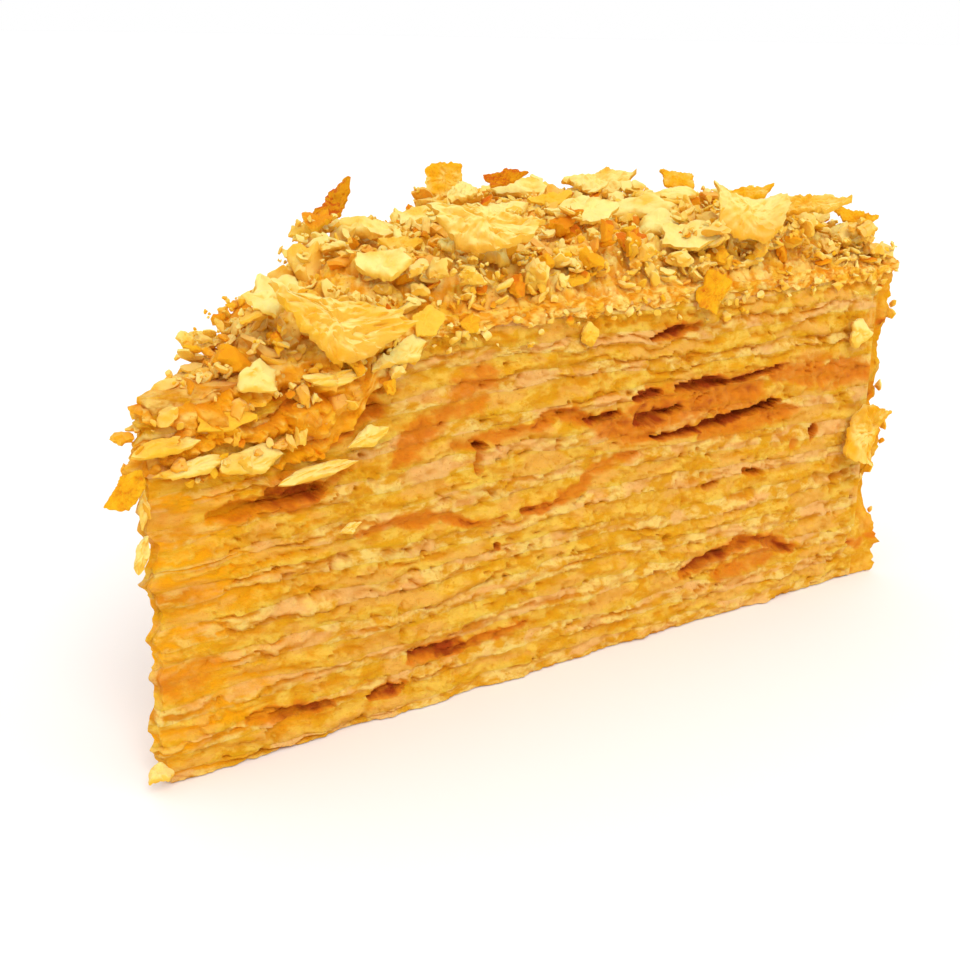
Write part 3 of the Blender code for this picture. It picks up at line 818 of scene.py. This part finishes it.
def chip_shape(corners, around, rings, thickness, bend, seed, ragged=0.10, curl=0.0):
    """Flake one unit in half length: a bent plate whose outline runs through a few corners."""
    corners = np.array(corners, float)
    following = np.roll(corners, -1, axis=0)
    angle = np.linspace(0.0, 2.0 * math.pi, around, endpoint=False)
    reach = np.full(around, 9.0)
    for start, end in zip(corners, following):
        edge = end - start
        normal = np.array([edge[1], -edge[0]])
        distance = normal @ start
        facing = normal[0] * np.cos(angle) + normal[1] * np.sin(angle)
        hit = np.where(facing > 1e-6, np.abs(distance) / np.maximum(facing, 1e-6), 9.0)
        reach = np.minimum(reach, hit)
    circle = stacked(np.cos(angle), np.sin(angle), np.zeros(around))
    broad, fine = noise(circle, 0.45, seed), noise(circle, 0.16, seed + 1)
    reach = np.minimum(reach, 1.15) * (1.0 + ragged * broad + 0.6 * ragged * fine)
    share = np.linspace(0.0, 1.0, rings + 1)[1:]
    x = np.concatenate([[0.0], (share[:, None] * reach * np.cos(angle)).ravel()])
    y = np.concatenate([[0.0], (share[:, None] * reach * np.sin(angle)).ravel()])
    flat = stacked(x, y, 0.0)
    z = bend * (x * x - 0.3) + curl * (y * y - 0.2) + 0.14 * noise(flat, 0.8, seed + 2)
    z = z + 0.06 * noise(flat, 0.28, seed + 3)
    edge_share = np.concatenate([[0.0], np.repeat(share, around)])
    half = 0.5 * thickness * (1.0 - 0.55 * edge_share ** 6) * (1.0 + 0.25 * noise(flat, 0.5, seed + 4))
    upper = stacked(x, y, z + half + 0.05 * noise(flat, 0.13, seed + 5))
    lower = stacked(x, y, z - half + 0.05 * noise(flat, 0.13, seed + 6))
    count = len(x)
    ring = 1 + np.arange(rings * around).reshape(rings, around)
    after = np.roll(ring, -1, axis=1)
    faces = [stacked(np.zeros(around, int), ring[0], after[0])]
    faces += [ring_faces(*pair) for pair in zip(ring[:-1], ring[1:])]
    top = np.concatenate(faces)
    faces = np.concatenate([top, top[:, ::-1] + count, ring_faces(ring[-1], ring[-1] + count)])
    return np.concatenate([upper, lower]), faces


def random_corners(rng, count):
    """Corners of an irregular convex-looking flake."""
    angle = (np.arange(count) + rng.uniform(-0.3, 0.3, count)) * 2 * math.pi / count
    radius = rng.uniform(0.6, 1.0, count)
    return [(r * math.cos(a), 0.75 * r * math.sin(a)) for r, a in zip(radius, angle)]


class Scatter:
    """Many small things joined into one mesh."""

    def __init__(self):
        self.points, self.faces, self.looks, self.count = [], [], [], 0

    def add(self, shape, turn, size, place, look):
        """One more copy of a shape, of one look all over."""
        points, faces = shape
        moved = (points * size) @ turn.T + np.asarray(place)
        self.points.append(moved)
        self.faces.append(faces + self.count)
        self.looks.append(np.tile(np.asarray(look, np.float32), (len(points), 1)))
        self.count += len(points)

    def piece(self, name, material, smooth_angle=50.0):
        """Join everything into one piece."""
        joined = [np.concatenate(parts) for parts in (self.points, self.faces, self.looks)]
        make_piece(name, *joined, material, (), "crumbs", smooth_angle)


def turn_matrix(heading, lean, rise):
    """Rotation of a flake: leaned sideways, raised along its length, turned to its heading, in degrees."""
    turn = Matrix.Rotation(math.radians(heading), 3, "Z") @ Matrix.Rotation(math.radians(-rise), 3, "Y")
    return np.array(turn @ Matrix.Rotation(math.radians(lean), 3, "X"))


def random_turn(rng):
    """Rotation to any side."""
    return np.array(Euler(rng.uniform(0, 2 * math.pi, 3)).to_matrix())


def random_place(rng):
    """Even random place on top of the slice."""
    radius = SLICE_LENGTH * math.sqrt(rng.uniform(0.0008, 1.0))
    angle = HALF_ANGLE * rng.uniform(-1.0, 1.0)
    return APEX.x + radius * math.cos(angle), APEX.y + radius * math.sin(angle), radius


def edge_place(rng):
    """Random place on top, close to one of the cuts."""
    radius = SLICE_LENGTH * rng.uniform(0.03, 1.0) ** 0.8
    inward = 4.5 * MM * rng.uniform() ** 1.5
    side = -1.0 if rng.uniform() < 0.6 else 1.0
    angle = side * max(HALF_ANGLE - inward / radius, 0.0)
    return APEX.x + radius * math.cos(angle), APEX.y + radius * math.sin(angle), radius


def on_front_cut(distance, level, outward):
    """Place at the front cut, by distance from the tip, height and how far it stands out, in mm."""
    x = APEX.x + (distance * math.cos(HALF_ANGLE) - outward * math.sin(HALF_ANGLE)) * MM
    y = APEX.y - (distance * math.sin(HALF_ANGLE) + outward * math.cos(HALF_ANGLE)) * MM
    return np.array([x, y, level * MM])


# Broad chips on top: distance from the tip and across, length and width in mm, heading, lean, rise,
# browned, kind of chip.
BROAD_CHIPS = (
    (112, -9, 12, 5, -55, 16, 3, 0.30, 0),
    (97, -12, 14, 6, -56, 22, 2, 0.05, 1),
    (86, -25, 11, 7, -50, 30, -4, 0.10, 2),
    (88, -19, 9, 6, -58, 26, 5, 0.05, 3),
    (77, -21, 6, 5, -45, 40, 5, 0.95, 4),
    (104, -28, 8, 8, -20, 60, 20, 0.85, 5),
    (122, -37, 7, 5, -50, 35, -6, 0.55, 6),
    (36, -8, 8, 7, -52, 30, -3, 0.10, 7),
    (52, 8, 8, 4, -58, 24, -6, 0.20, 8),
    (47, -2, 7, 4, -50, 30, -10, 0.55, 9),
    (49, -9, 4, 3, -60, 30, -4, 0.00, 0),
    (54, -13, 4.5, 3, -60, 25, -12, 0.00, 3),
    (80, -12, 9, 7, -30, 20, 4, 0.08, 2),
    (92, -3, 10, 6, -62, 20, 0, 0.05, 1),
    (72, 14, 8, 6, -50, 25, 3, 0.20, 6),
    (84, 6, 9, 7, -40, 15, 5, 0.05, 7),
    (112, 22, 11, 7, -60, 20, 2, 0.10, 8),
    (100, 8, 9, 6, -52, 18, 3, 0.60, 9),
    (27, 2, 8, 7, -40, 25, -14, 0.05, 2),
    (20, -3, 7, 5, -30, 30, -16, 0.15, 0),
    (120, -18, 10, 6, -52, 24, 4, 0.15, 4),
    (126, -28, 9, 6, -48, 24, 2, 0.05, 5),
    (66, -18, 7, 5, -52, 30, -4, 0.30, 6),
    (44, 10, 6, 4, -60, 35, 0, 0.85, 4),
    (64, 4, 7, 5, -35, 25, 6, 0.08, 7),
)

# Pieces stuck on the front cut: distance, height, outward, length, width in mm, heading, lean, rise,
# browned, kind of chip.
STUCK_CHIPS = (
    (67, 49.5, 0.8, 4.6, 2.6, -19, 80, 75, 0.10, 3),
    (124, 43.8, 1.0, 7.0, 4.4, -19, 74, 52, 0.08, 1),
    (28.5, 28.8, 0.9, 5.6, 1.8, -19, 70, 12, 0.12, 5),
    (21.6, 43.6, 1.2, 7.6, 2.2, -19, 75, 80, 0.35, 6),
    (7.0, 40.6, 1.6, 12.0, 2.6, -19, 48, 6, 0.02, 0),
    (14.5, 39.8, 1.4, 10.5, 4.6, -19, 68, 0, 0.22, 7),
    (4, 43.6, 1.4, 9.0, 2.4, -19, 40, 4, 0.12, 8),
    (11, 45.8, 1.2, 10.0, 3.0, -19, 50, -4, 0.62, 2),
    (26, 48.9, 1.7, 13.0, 2.4, -19, 56, -3, 0.10, 4),
    (16, 50.2, 1.0, 8.0, 4.4, -19, 52, 2, 0.15, 1),
    (31, 40.4, 0.9, 8.0, 3.4, -19, 76, 10, 0.25, 9),
    (37, 50.5, 1.2, 7.0, 4.4, -19, 66, 14, 0.20, 7),
    (40, 54.4, 0.6, 6.0, 4.4, -22, 52, 6, 0.60, 2),
    (47, 53.2, 0.8, 4.4, 3.2, -19, 70, 20, 0.80, 4),
    (24, 37.2, 1.0, 12.0, 2.0, -19, 55, 6, 0.30, 8),
    (1.0, 36.6, 1.2, 7.5, 1.8, -10, 80, 80, 0.30, 5),
    (0.8, 2.4, 1.2, 4.6, 2.6, -30, 20, 5, 0.20, 3),
    (0.5, 31.0, 0.8, 5.0, 1.6, -10, 80, 70, 0.20, 8),
)


def random_chips(rng, number, around, rings, thinnest, thickest, bend, ragged, seed):
    """Some chip shapes, each with its own corners, thickness and bend."""
    shapes = []
    for i in range(number):
        corners = random_corners(rng, int(rng.integers(4, 7)))
        thickness, bent = rng.uniform(thinnest, thickest), rng.uniform(-bend, bend)
        shapes.append(chip_shape(corners, around, rings, thickness, bent, seed + i, ragged))
    return shapes


def tone(rng, radius, toasted=0.14, buried_shade=0.0):
    """Look of one crumb: mostly pale, sometimes golden, and toasted by chance; painted shade on buried ones
    and painted glowing orange near the tip.
    """
    # painted glowing orange, stronger near the thin tip
    painted_glow = 0.35 * float(1.0 - smooth(np.array(radius), 5 * MM, 45 * MM)) * rng.uniform(0.0, 1.0)
    kinds = [rng.uniform(0.0, 0.25), rng.uniform(0.3, 0.6), rng.uniform(0.65, 1.0)]
    browned = rng.choice(kinds, p=[0.84 - 1.4 * toasted, 0.16 + 0.4 * toasted, toasted])
    # painted shade for buried crumbs
    return browned, buried_shade * rng.uniform(0.2, 1.0), painted_glow


def one_of(rng, shapes):
    """Random one of some shapes."""
    return shapes[int(rng.integers(len(shapes)))]


def scatter_cuts(rng, stuck, chips, clumps, crumbs):
    """Crumbs and chips that stick to both cuts, most of all where the heap spills over the tip."""
    for number in range(CUT_BITS):
        draped = number % 3 == 0
        distance = (38 if draped else 133) * rng.uniform(0.02, 1.0)
        top = STACK_TOP / MM - 6.5 * (1.0 - float(smooth(np.array(distance), 0, 45)))
        if draped:
            level = top - rng.uniform(0.0, 1.0) * (11 - 0.12 * distance)
            size, outward = rng.uniform(0.5, 1.7) * MM, rng.uniform(0.8, 1.8)
        elif rng.uniform() < 0.6:
            level = top - 4.5 * rng.uniform() ** 1.5
            size, outward = rng.uniform(0.3, 0.9) * MM, rng.uniform(0.3, 0.9)
        else:
            level = top - 2.5 * rng.uniform()
            size, outward = rng.uniform(0.3, 0.7) * MM, rng.uniform(0.2, 0.7)
        place = on_front_cut(distance, level, outward)
        if rng.uniform() < 0.45:
            place[1] = 2.0 * APEX.y - place[1]
        turn = random_turn(rng)
        shapes = (chips if rng.uniform() < 0.6 else clumps) if draped else crumbs
        look = tone(rng, distance * MM, 0.18 if draped else 0.08, 0.6 if draped else 0.3)
        stuck.add(one_of(rng, shapes), turn, size * rng.uniform(0.6, 1.3, 3), place, look)


def scatter_rim(rng, stuck, chips):
    """Chips that lie against the rim."""
    for _ in range(RIM_BITS):
        angle = HALF_ANGLE * rng.uniform(-1.0, 1.0)
        level = STACK_TOP * rng.uniform(0.06, 1.0)
        size = (0.6 + 2.0 * rng.uniform() ** 1.5) * MM
        profile = float(np.interp(level / MM, *zip(*RIM_PROFILE)))
        out = SLICE_LENGTH + (0.8 * profile + rng.uniform(-0.6, 0.9)) * MM
        place = (APEX.x + out * math.cos(angle), APEX.y + out * math.sin(angle), level)
        turn = turn_matrix(math.degrees(angle) + 90.0, rng.uniform(55, 105), rng.uniform(-180, 180))
        scale = size * np.array([1.0, rng.uniform(0.6, 1.0), 1.0])
        stuck.add(one_of(rng, chips), turn, scale, place, tone(rng, out, 0.2, 0.5))


def scatter_all(pile, materials):
    """Broad chips, crumbs and small chips over the heap, and what sticks to the cuts and the rim."""
    rng = np.random.default_rng(7)
    crumb_shapes = [lump_shape(2, 20 + i, 9, 0.40) for i in range(9)]
    clump_shapes = [lump_shape(3, 40 + i, 8, 0.50) for i in range(6)]
    chip_shapes = random_chips(rng, 14, 12, 2, 0.24, 0.46, 0.3, 0.14, 60)
    plate_shapes = random_chips(rng, 10, 36, 5, 0.16, 0.30, 0.25, 0.12, 90)
    fine, coarse, chips, plates, stuck = (Scatter() for _ in range(5))

    def lay(scatter, shapes, count, low, high, tilt=None, find=random_place, toasted=0.14, buried_shade=0.0):
        """Drop crumbs of low to high mm on the pile, lying flat to within a tilt or turned anyhow."""
        for _ in range(count):
            x, y, radius = find(rng)
            size = low * MM + (high * MM - low * MM) * rng.uniform() ** 2.0
            height = pile.drop(x, y, size, size * (0.6 if tilt else 1.3))
            if height is None:
                continue
            if tilt:
                turn = turn_matrix(rng.uniform(0, 360), rng.normal() * tilt, rng.normal() * tilt)
                scale = size * np.array([1.0, rng.uniform(0.5, 1.0), 1.0])
            else:
                turn = random_turn(rng)
                scale = size * rng.uniform(0.7, 1.15, 3)
            look = tone(rng, radius, toasted, buried_shade)
            scatter.add(one_of(rng, shapes), turn, scale, (x, y, height), look)

    lay(coarse, clump_shapes, 100, 1.2, 2.6, buried_shade=0.6)
    lay(chips, chip_shapes, 320, 1.4, 3.4, 26, buried_shade=0.7, toasted=0.20)
    lay(fine, crumb_shapes, 600, 0.45, 1.1, buried_shade=0.4)
    lay(chips, chip_shapes, 460, 1.0, 2.8, 30, toasted=0.10, buried_shade=0.2)
    lay(plates, plate_shapes, 34, 2.4, 4.0, 20, toasted=0.08)
    for along, across, length, width, heading, lean, rise, browned, kind in BROAD_CHIPS:
        x, y = APEX.x + along * MM, APEX.y + across * MM
        height = pile.drop(x, y, 0.3 * length * MM, 1.2 * MM)
        if height is not None:
            size = np.array([length / 1.8, width / 1.25, 6.5]) * MM
            turn = turn_matrix(heading, lean, rise)
            plates.add(plate_shapes[kind], turn, size, (x, y, height + 0.7 * MM), (browned, 0.0, 0.0))
    lay(chips, chip_shapes, 320, 0.9, 2.4, 34, edge_place, buried_shade=0.4)
    lay(coarse, clump_shapes, 110, 0.8, 2.0, None, edge_place, buried_shade=0.4)
    lay(fine, crumb_shapes, 480, 0.25, 0.7, toasted=0.08, buried_shade=0.3)
    lay(fine, crumb_shapes, 340, 0.25, 0.8, None, edge_place, toasted=0.10, buried_shade=0.3)
    for distance, level, outward, length, width, heading, lean, rise, browned, kind in STUCK_CHIPS:
        size = np.array([length / 2, width / 1.3, 4.2]) * MM
        # browned, and painted glowing orange on chips near the tip
        look = (browned, 0.0, 0.1 if distance < 30 else 0.0)
        turn = turn_matrix(heading, lean, rise)
        stuck.add(plate_shapes[kind], turn, size, on_front_cut(distance, level, outward), look)
    scatter_cuts(rng, stuck, chip_shapes, clump_shapes, crumb_shapes)
    scatter_rim(rng, stuck, chip_shapes)
    fine.piece("crumbs_fine", materials["crumb"], 30.0)
    coarse.piece("crumbs_coarse", materials["crumb"], 35.0)
    chips.piece("chips_small", materials["chip"])
    plates.piece("chips_broad", materials["chip"])
    stuck.piece("chips_stuck", materials["chip"])


# Large flakes, each on its CAD node: outline corners, half length and width in mm, thickness against
# half length, bend along, curl across, heading, lean, rise, browned.
HALF_MOON = ((-1.0, 0.45), (-0.75, -0.15), (-0.3, -0.6), (0.25, -0.62), (0.75, -0.2), (1.0, 0.45))
SQUARE = ((-1.0, 0.9), (-0.9, -0.8), (0.85, -0.95), (1.0, 0.8))
SHARD = ((-1.0, 0.25), (-0.5, -0.55), (0.5, -0.5), (1.0, 0.1), (0.3, 0.6))
CURL = (
    (-1.0, 0.55), (-0.95, -0.1), (-0.55, -0.35), (-0.1, -0.8),
    (0.5, -0.75), (1.0, -0.1), (0.75, 0.35), (0.1, 0.5),
)
BARB = ((-1.0, 0.35), (-0.8, -0.5), (0.1, -0.5), (1.05, -0.35), (0.2, 0.4))
# Node, outline, half length, width, thickness, bend, curl, heading, lean, rise, browned, and how far it
# lies right of, above and in front of the middle of its node as the camera sees it, in mm.
FLAKES = (
    ("flake_barbed", BARB, 5.4, 4.6, 0.20, 0.30, 0.2, -60, 50, 58, 1.00, -2.6, 0.6, 0.0),
    ("flake_upright", SQUARE, 3.3, 3.4, 0.24, 0.10, 0.1, -55, 62, 4, 0.50, -0.6, 0.0, 0.0),
    ("flake_brown", BARB, 3.9, 3.2, 0.20, 0.25, 0.2, -40, 45, 15, 0.92, -1.6, 0.6, 0.0),
    ("flake_slab_long", SHARD, 7.0, 6.4, 0.24, 0.10, -0.3, -52, 22, 4, 0.05, -0.8, -1.6, 0.0),
    ("flake_slab_short", SQUARE, 3.0, 2.8, 0.34, 0.05, -0.3, -45, 30, -8, 0.55, 0.0, 0.0, 0.0),
    ("flake_lens", HALF_MOON, 8.2, 5.4, 0.20, 0.12, -0.5, -57, 40, -8, 0.00, 0.0, -1.0, 6.0),
    ("flake_folded", SQUARE, 5.6, 4.6, 0.20, 0.55, -0.4, -50, 38, -8, 0.08, 3.6, 0.6, 2.0),
    ("flake_yellow", SHARD, 4.2, 3.0, 0.26, 0.12, -0.3, -45, 28, 8, 0.55, 0.0, 0.6, 0.0),
    ("flake_long", SHARD, 8.2, 3.4, 0.14, 0.10, 0.3, -54, 22, 4, 0.45, 0.0, 0.8, 0.0),
    ("flake_rim_top", SHARD, 3.8, 3.2, 0.24, 0.20, 0.2, -75, 22, -6, 0.68, 0.0, 0.0, 0.0),
    ("flake_back", SHARD, 6.2, 5.0, 0.20, 0.15, -0.3, 35, -22, 5, 0.15, 0.0, 0.0, 0.0),
    ("flake_curled", CURL, 9.6, 5.6, 0.17, 0.30, -0.50, -22, 58, -12, 0.12, -1.6, 0.4, 0.0),
    ("flake_tip", SHARD, 3.2, 2.8, 0.28, 0.35, 0.2, -40, 62, 48, 0.72, 2.2, -0.8, 0.0),
    ("flake_front", SQUARE, 3.0, 2.4, 0.30, 0.20, -0.3, -19, 74, 62, 0.76, -1.2, 2.0, 0.0),
    ("flake_rim", SQUARE, 5.2, 3.2, 0.22, 0.45, -0.4, -19, 76, 70, 0.42, -1.0, 3.2, 0.0),
)


def flake_pieces(materials):
    """Each large flake, finely made, where its CAD node lies."""
    for number, (node, corners, *row) in enumerate(FLAKES):
        length, width, thickness, bend, curl, heading, lean, rise, browned, right, up, near = row
        low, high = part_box(node)
        points, faces = chip_shape(corners, 90, 12, thickness, bend, 150 + number, 0.13, curl)
        points[:, 2] += 0.07 * noise(points, 0.16, 230 + number) + 0.05 * noise(points, 0.08, 250 + number)
        size = np.array([length, width, length]) * MM
        turned = (points * size) @ turn_matrix(heading, lean, rise).T
        middle = (turned.min(0) + turned.max(0)) / 2
        turned += np.array((low + high) / 2) - middle
        across, toward = VIEW_HEADING, VIEW_HEADING - math.pi / 2
        turned[:, 0] += (right * math.cos(across) + near * math.cos(toward)) * MM
        turned[:, 1] += (right * math.sin(across) + near * math.sin(toward)) * MM
        turned[:, 2] += up * MM
        look = np.zeros((len(points), 3), np.float32)
        patches = smooth(noise(points, 0.9, 170 + number), -0.1, 0.5)
        look[:, 0] = browned + 0.20 * noise(points, 0.5, 190 + number) + 0.35 * patches * (1.0 - browned)
        # painted shade: one side of each flake turns golden, as if shaded
        look[:, 1] = 0.35 * smooth(-points[:, 1], 0.1, 0.7) * (1.0 - 0.5 * browned)
        name = node.replace("flake", "shard")
        slot = "brown_flake" if browned > 0.65 else "pale_flake"
        make_piece(name, turned, faces, look, materials["flake"], (node,), slot, 55.0)


# ---- studio


def add_camera():
    """The camera, standing off the tip and looking down along the slice."""
    data = bpy.data.cameras.new("camera")
    data.lens = VIEW_LENS
    data.sensor_width = 36.0
    data.clip_start = 0.01
    camera = bpy.data.objects.new("camera", data)
    camera.location = APEX + EYE_FROM_TIP
    turn = Matrix.Rotation(VIEW_HEADING, 4, "Z") @ Matrix.Rotation(math.pi / 2 - VIEW_DROP, 4, "X")
    camera.rotation_euler = (turn @ Matrix.Rotation(VIEW_ROLL, 4, "Z")).to_euler()
    bpy.context.scene.collection.objects.link(camera)
    bpy.context.scene.camera = camera


def add_studio():
    """Pale floor, one broad soft sun and an even bright surround."""
    bpy.ops.mesh.primitive_plane_add(size=FLOOR_SIZE, location=(0.0, 0.0, -FLOOR_DROP))
    floor = bpy.context.object
    floor.name = "floor"
    shader = Shader("floor_white")
    tone = shader.ramp(shader.noise(3.0, 2), 0.2, 0.8)
    colour = shader.mix(tone, (0.92, 0.92, 0.92), (0.94, 0.94, 0.94))
    floor.data.materials.append(shader.finish(colour, 0.8, shader.noise(50.0, 2), 0.02))
    world = bpy.data.worlds.new("surround")
    bpy.context.scene.world = world
    world.use_nodes = True
    background = world.node_tree.nodes["Background"]
    background.inputs["Color"].default_value = (1.0, 1.0, 1.0, 1.0)
    background.inputs["Strength"].default_value = 1.0
    sun = bpy.data.lights.new("sun", "SUN")
    sun.energy, sun.angle, sun.color = SUN_STRENGTH, SUN_SPREAD, SUN_COLOUR
    lamp = bpy.data.objects.new("sun", sun)
    lamp.rotation_euler = SUN_DIRECTION.to_track_quat("-Z", "Y").to_euler()
    bpy.context.scene.collection.objects.link(lamp)
    bpy.context.scene.view_settings.view_transform = "Standard"


# ---- building


def build():
    """Make every piece, the camera and the studio."""
    materials = {name: cut_material(name, *row) for name, row in CUT_COLOURS.items()}
    materials |= {name: crumb_material(name, *row) for name, row in CRUMB_COLOURS.items()}
    for layer in range(LAYERS):
        layer_piece(layer, materials)
    rim_coat_piece(materials)
    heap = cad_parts["crumb_heap"].data
    outline = [v.co for v in heap.vertices], [tuple(p.vertices) for p in heap.polygons]
    pile = Pile(BVHTree.FromPolygons(*outline), 1.3 * MM)
    heap_core_piece(pile, materials["packed"])
    scatter_all(pile, materials)
    flake_pieces(materials)
    add_camera()
    add_studio()


build()
